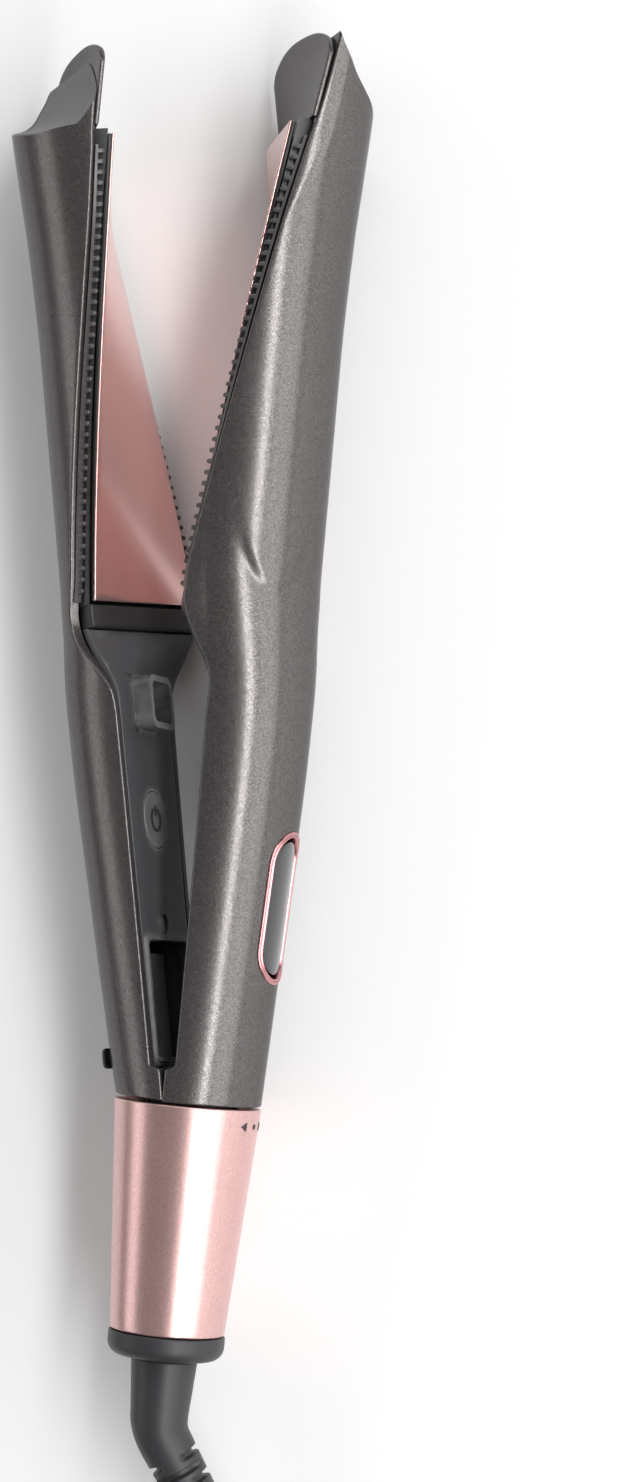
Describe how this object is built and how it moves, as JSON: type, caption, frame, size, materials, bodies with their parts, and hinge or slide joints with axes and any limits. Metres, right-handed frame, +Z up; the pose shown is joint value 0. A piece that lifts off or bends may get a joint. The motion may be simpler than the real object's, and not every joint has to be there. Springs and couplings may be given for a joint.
{
  "type": "flat iron",
  "caption": "Open twisted-plate flat iron: spring-hinged arms with combed rose-gold plates, small display, twist ring, swivel lead with ribbed strain relief, coiled cord and two-pin plug.",
  "frame": {"origin": "on the surface it lies on, under the middle of the open iron without its cord", "axes": "+Y along the iron towards the tips, +X the side of the display arm, +Z up, along the hinge pin"},
  "size_m": [0.1126, 0.5365, 0.04],
  "materials": {
    "gunmetal": "metallic lacquer, satin gloss",
    "inner_dark": "satin dark grey",
    "rose_plate": "glossy rose-gold ceramic coating",
    "rose_ring": "satin rose-gold metallic lacquer",
    "rose_trim": "bright rose-gold plating",
    "black_frame": "black heat-resistant plastic",
    "black_soft": "black flexible vinyl",
    "display_glass": "gloss black lens",
    "button_grey": "satin grey",
    "print_dark": "dark print",
    "steel": "plain steel",
    "contact_brass": "bare brass",
    "pin_nickel": "nickel-plated",
    "heater_white": "ceramic heater",
    "insulation_tan": "mica sheet",
    "board_green": "circuit board",
    "chip_black": "moulded chips",
    "wire_red": "insulated lead"
  },
  "bodies": {
    "handle": {"board_components": "chip_black", "contact_block": "black_frame", "control_board": "board_green", "cord_coil": "black_soft", "cord_tail": "black_soft", "cord_tube": "black_soft", "core_tube": "black_frame", "dial_sensor": "black_frame", "dial_spring": "steel", "display_bezel": "rose_trim", "display_module": "chip_black", "display_window": "display_glass", "end_cap": "black_frame", "front_comb_lower": "black_frame", "front_comb_upper": "black_frame", "front_fuse": "steel", "front_heater": "heater_white", "front_heater_clamp": "steel", "front_inner_cover": "inner_dark", "front_insulation": "insulation_tan", "front_nose": "gunmetal", "front_plate": "rose_plate", "front_plate_carrier": "black_frame", "front_screws": "steel", "front_shell": "gunmetal", "front_thermistor": "chip_black", "front_wires": "wire_red", "hinge_block": "black_frame", "hinge_pin": "steel", "hinge_washers": "steel", "lead_wires": "wire_red", "plug_body": "black_soft", "plug_pins": "pin_nickel", "swivel_contacts": "contact_brass", "torsion_spring": "steel"},
    "rear_arm": {"rear_comb_lower": "black_frame", "rear_comb_upper": "black_frame", "rear_fuse": "steel", "rear_heater": "heater_white", "rear_heater_clamp": "steel", "rear_hinge_arm": "black_frame", "rear_inner_cover": "inner_dark", "rear_insulation": "insulation_tan", "rear_nose": "gunmetal", "rear_plate": "rose_plate", "rear_plate_carrier": "black_frame", "rear_screws": "steel", "rear_shell": "gunmetal", "rear_thermistor": "chip_black", "rear_wires": "wire_red", "switch_board": "board_green", "tact_switch": "chip_black"},
    "button": {"power_button": "button_grey", "power_symbol": "print_dark"},
    "dial": {"dial_sleeve": "rose_ring", "sleeve_marks": "print_dark", "dial_cam": "black_frame"},
    "lock": {"lock_slider": "black_frame"},
    "swivel": {"strain_relief": "black_soft"}
  },
  "joints": [
    {"name": "arm_hinge", "type": "hinge", "parent": "handle", "child": "rear_arm", "pos_m": [0.0194, -0.0609, 0.02001], "axis": [0, 0, -1], "range_deg": [0, 11.2], "stiffness_Nm_per_rad": 0.3},
    {"name": "power_press", "type": "slide", "parent": "rear_arm", "child": "button", "axis": [-0.981, -0.1942, 0], "range_m": [0, 0.0006], "stiffness_N_per_m": 600},
    {"name": "dial_turn", "type": "hinge", "parent": "handle", "child": "dial", "pos_m": [0.0194, -0.0894, 0.02001], "axis": [0, 1, 0], "range_deg": [-15, 15], "stiffness_Nm_per_rad": 0.08},
    {"name": "lock_slide", "type": "slide", "parent": "rear_arm", "child": "lock", "axis": [-0.1942, 0.981, 0], "range_m": [0, 0.004]},
    {"name": "cord_swivel", "type": "hinge", "parent": "handle", "child": "swivel", "pos_m": [0.0194, -0.1184, 0.02001], "axis": [0, 1, 0], "continuous": true}
  ]
}
